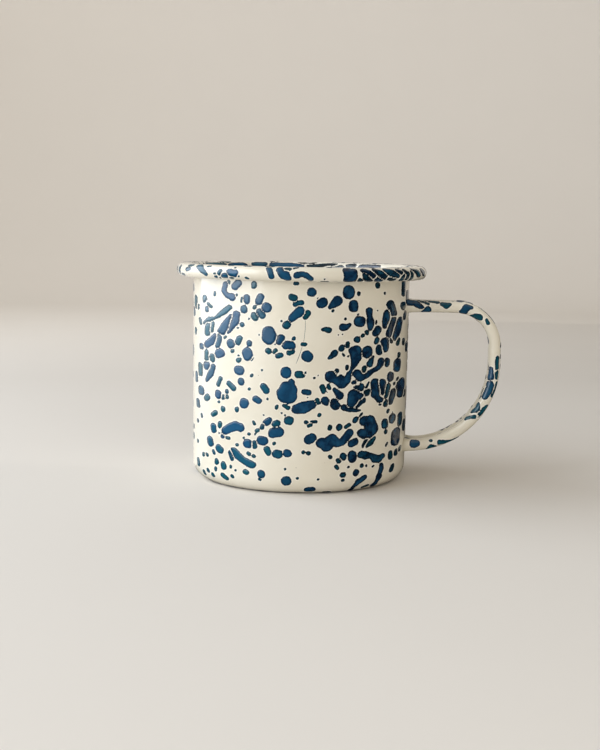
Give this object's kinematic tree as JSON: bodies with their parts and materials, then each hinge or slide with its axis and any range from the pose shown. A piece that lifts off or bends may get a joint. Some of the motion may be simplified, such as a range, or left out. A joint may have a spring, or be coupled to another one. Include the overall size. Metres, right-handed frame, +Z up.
{
  "type": "enamelled steel mug",
  "caption": "Straight-sided enamelled steel mug with a curled rim, a rounded base corner and a strap handle with rolled edges.",
  "frame": {"origin": "centre of the resting face, on the cup's axis", "axes": "+Z up along the cup's axis, +X from the axis towards the handle, and the mug is mirror-symmetric about the XZ plane"},
  "size_m": [0.1197, 0.092, 0.079],
  "materials": {
    "sheet_steel": "bare low-carbon sheet steel, hidden under the enamel",
    "weld_steel": "fused steel of the spot welds, hidden",
    "ground_enamel": "dark ground coat, fired on to the steel",
    "cover_enamel": "glossy cream cover coat with fired navy and teal splatter"
  },
  "bodies": {
    "root": {"steel_cup": "sheet_steel", "steel_handle": "sheet_steel", "upper_spot_welds": "weld_steel", "lower_spot_welds": "weld_steel", "cup_ground_enamel": "ground_enamel", "handle_ground_enamel": "ground_enamel", "outside_enamel": "cover_enamel", "inside_enamel": "cover_enamel", "rim_enamel": "cover_enamel", "base_enamel": "cover_enamel", "handle_enamel": "cover_enamel"}
  },
  "joints": []
}
